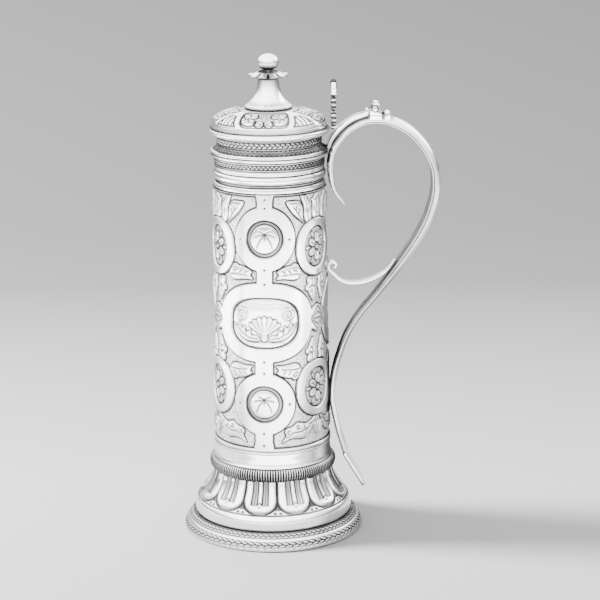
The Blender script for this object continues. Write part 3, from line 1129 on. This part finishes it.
knuckle_line = profile(0.15, [
    (2.9, 3.2, 0.4), (3.2, 2.9, 2.0), (3.2, -2.9, 0.4), (2.9, -3.2, 0.6), (1.85, -3.2, 3.0), (1.85, 3.2, 0.6),
])
knuckle = turned("silver_hinge_knuckle", knuckle_line, round_angles(48), polished_silver, place=crosswise)
dressed(knuckle, "lid", "silver_polished", "hinge_arm")

# Thumbpiece
# An openwork casting that stands on the arm: a stem with two pairs of beaded scrolls and a ribbed
# shell at the top for the thumb, on a small knop. It was filed up and soldered to the arm.

thumb_x = 42.2


def bar(points, radius, thick, bead=0.0):
    """A rounded bar in the thumbpiece's plane along points (y, z, scale) and its darkness: an oval
    section, wide in the plane and `thick` across it, carried along the smooth line through the
    points, and swelling into beads of the given length, with dark necks, if one is given."""
    path = flowing(points, 12)
    run = unit(np.gradient(path[:, :2], axis=0))
    walk = walked(path[:, :2])[:, None]
    bulge = np.abs(np.sin(math.pi * walk / bead)) if bead else np.ones_like(walk)
    turn = round_angles(10)
    size = path[:, 2:] * (0.68 + 0.32 * bulge)
    wide = size * radius * np.cos(turn)
    y, z = path[:, :1] - run[:, 1:] * wide, path[:, 1:2] + run[:, :1] * wide
    x = axis_mm + thumb_x + thick * size * np.sin(turn)
    return np.stack([x, y, z], -1), 0.50 + 0.50 * (1 - smooth(bulge, 0.55, 0.97)) * (bead > 0)


lower_scroll = [(0.6, 272.8, 0.9), (4.2, 273.9, 1.0), (7.4, 276.6, 1.0), (7.5, 280.4, 1.0), (4.8, 282.0, 0.9),
                (3.2, 280.2, 0.8), (4.4, 278.4, 0.7)]
upper_scroll = [(0.4, 282.6, 0.8), (3.4, 284.0, 1.0), (6.8, 285.8, 1.0), (7.2, 289.6, 1.0), (4.6, 291.4, 0.9),
                (3.4, 289.8, 0.75), (4.4, 288.4, 0.7)]
bars = [bar([(0.0, 272.2, 1.0), (0.0, 280.0, 0.9), (0.0, 287.0, 0.9), (0.0, 293.0, 1.1)], 1.25, 1.3)]
for scroll in (lower_scroll, upper_scroll):
    for hand in (1, -1):
        bars.append(bar([(hand * y, z, size) for y, z, size in scroll], 1.35, 2.0, 2.6))
fan_spread = 1.32
fan_turn = np.linspace(-fan_spread, fan_spread, 91)[:, None]
fan_rib = np.abs(np.cos(fan_turn / fan_spread * 3.5 * math.pi)) ** 0.7
fan_u = np.concatenate([np.linspace(0.12, 1, 14), np.linspace(1, 0.12, 14)])[None, :]
fan_face = np.repeat([1.0, -1.0], 14)[None, :]
fan_edge = 11.2 * (0.93 + 0.07 * fan_rib) * (1 - 0.06 * fan_turn ** 2)
fan_thick = (1.65 + 0.5 * fan_rib * fan_u) * np.sqrt(np.clip(1 - (fan_u * 0.97) ** 8, 0, 1)) + 0.2
shell = np.stack([
    axis_mm + thumb_x - fan_face * fan_thick,
    fan_u * fan_edge * np.sin(fan_turn),
    291.6 + fan_u * fan_edge * np.cos(fan_turn),
], -1)
shell_ink = highest(0.75 * (1 - fan_rib) * (fan_u < 0.9), 0.97 * (fan_u > 0.85) * (np.abs(fan_turn) < 0.45))
thumbpiece = tubes("silver_thumbpiece", polished_silver, *bars, (shell, shell_ink))
dressed(thumbpiece, "lid", "silver_polished", "thumbpiece")
on_thumb = functools.partial(upright, off=thumb_x)
knop_line = arc((0.0, 272.1), (2.3, 2.3), (90, -90), 20)
knop = pole_turned("silver_thumbpiece_knop", knop_line, round_angles(32), polished_silver, on_thumb)
dressed(knop, "lid", "silver_polished", "thumbpiece")

# Floor
# A pale seamless sheet that lies flat under the tankard and curves up behind it. Its tone falls
# away towards the back, and a little towards the front.

paper = bpy.data.materials.new("pale paper")
paper.use_nodes = True
paper_tree = paper.node_tree
paper_place = add_node(paper_tree, "TexCoord", "Object")
paper_y = add_node(paper_tree, "SeparateXYZ", "Y", Vector=paper_place)
to_back = add_range(paper_tree, paper_y, -0.4, 0.68, 0.0, 1.0)
near_tone, far_tone = (0.139, 0.139, 0.139, 1.0), (0.0364, 0.0364, 0.0364, 1.0)
paper_tone = add_node(paper_tree, "Mix", "Result", data_type="RGBA", A=near_tone, B=far_tone, Factor=to_back)
front_fall = add_range(paper_tree, paper_y, -0.16, 0.10, 0.76, 1.0)
paper_tone = add_node(paper_tree, "VectorMath", "Vector", operation="SCALE", Vector=paper_tone,
                      Scale=front_fall)
paper_shader = paper_tree.nodes["Principled BSDF"]
paper_shader.inputs["Roughness"].default_value = 0.85
paper_tree.links.new(paper_tone, paper_shader.inputs["Base Color"])
floor_line = np.vstack([
    [(-6000.0, 0.0), (-400.0, 0.0), (500.0, 0.0)],
    arc((900, 500), (500, 500), (-90, -10), 18),
])
floor_x = np.linspace(-6000, 6000, 9)
floor_points = np.stack(np.broadcast_arrays(floor_x, floor_line[:, :1], floor_line[:, 1:]), -1)
floor_faces = grid_faces(len(floor_line), len(floor_x), False, False)[:, ::-1]
floor = mesh_object("floor_sheet", floor_points, [floor_faces], paper)

# Light and camera
# A white tent, darker at its two sides, with a soft window at the left and behind that is not
# mirrored in the silver, a weak one at the right, and three cards on the floor; a long lens a
# little above the lid's height, turned by a fraction of a degree.

world = bpy.data.worlds.new("white tent")
bpy.context.scene.world = world
world.use_nodes = True
sky = world.node_tree
sky_split = add_node(sky, "SeparateXYZ", Vector=add_node(sky, "TexCoord", "Generated"))


def sky_step(axis, *span):
    """A smooth step along an axis of the sky's direction: start, end, first and last value."""
    return add_range(sky, sky_split.outputs[axis], *span, interpolation_type="SMOOTHSTEP")


sky_back, sky_front = sky_step("Z", 0.06, 0.38, 0.25, 5.60), sky_step("Z", -0.02, 0.28, 0.80, 7.00)
to_front = sky_step("Y", 0.25, -0.60, 0.0, 1.0)
sky_strength = add_node(sky, "Mix", "Result", Factor=to_front, A=sky_back, B=sky_front)
for side_step in ((-0.6, 0.9, 1.20, 0.80), (0.70, 0.92, 1.0, 0.55), (-0.96, -0.78, 0.65, 1.0)):
    sky_strength = add_maths(sky, "MULTIPLY", sky_strength, sky_step("X", *side_step))
sky_shade = sky.nodes["Background"]
sky.links.new(sky_strength, sky_shade.inputs["Strength"])
sky_shade.inputs["Color"].default_value = (1.0, 1.0, 1.0, 1.0)


def window(name, place, aim, wide, high, power, spread_deg=180, shine=True):
    """A soft round light that faces a point and keeps to a cone of the given spread. One that does
    not shine lights the floor but is not mirrored in the silver."""
    lamp = bpy.data.lights.new(name, "AREA")
    lamp.shape = "ELLIPSE"
    lamp.size = wide
    lamp.size_y = high
    lamp.energy = power
    lamp.spread = math.radians(spread_deg)
    obj = bpy.data.objects.new(name, lamp)
    obj.location = place
    x, y, z = np.subtract(aim, place)
    obj.rotation_euler = (math.atan2(math.hypot(x, y), -z), 0.0, math.atan2(-x, y))
    obj.visible_camera = False
    obj.visible_glossy = shine
    bpy.context.scene.collection.objects.link(obj)


window("left_window", (-2.20, 0.31, 1.53), (axis_x, 0.0, 0.12), 0.76, 0.76, 720.0,
       spread_deg=110, shine=False)
window("right_window", (1.3, 0.7, 1.1), (axis_x, 0.0, 0.15), 1.0, 1.0, 15.0)
window("front_card", (0.05, -0.65, 0.012), (0.05, -0.65, 1.0), 1.6, 0.95, 26.0)
window("left_card", (-0.75, 0.0, 0.012), (-0.75, 0.0, 1.0), 0.8, 0.7, 10.0)
window("right_card", (0.80, -0.25, 0.012), (0.80, -0.25, 1.0), 0.8, 0.8, 7.0)

aim_height, distance = 0.1558, 1.403
tilt, roll = math.radians(14.26), math.radians(-0.70)
lens = bpy.data.cameras.new("long lens")
lens.sensor_width = 36.0
lens.lens = 126.6
lens.shift_x = 29.1 / 600
camera = bpy.data.objects.new("long lens", lens)
bpy.context.scene.collection.objects.link(camera)
camera_place = (axis_x, -distance * math.cos(tilt), aim_height + distance * math.sin(tilt))
camera_turn = Matrix.Rotation(math.pi / 2 - tilt, 4, "X") @ Matrix.Rotation(roll, 4, "Z")
camera.matrix_world = Matrix.Translation(camera_place) @ camera_turn
bpy.context.scene.camera = camera

bpy.context.view_layer.update()
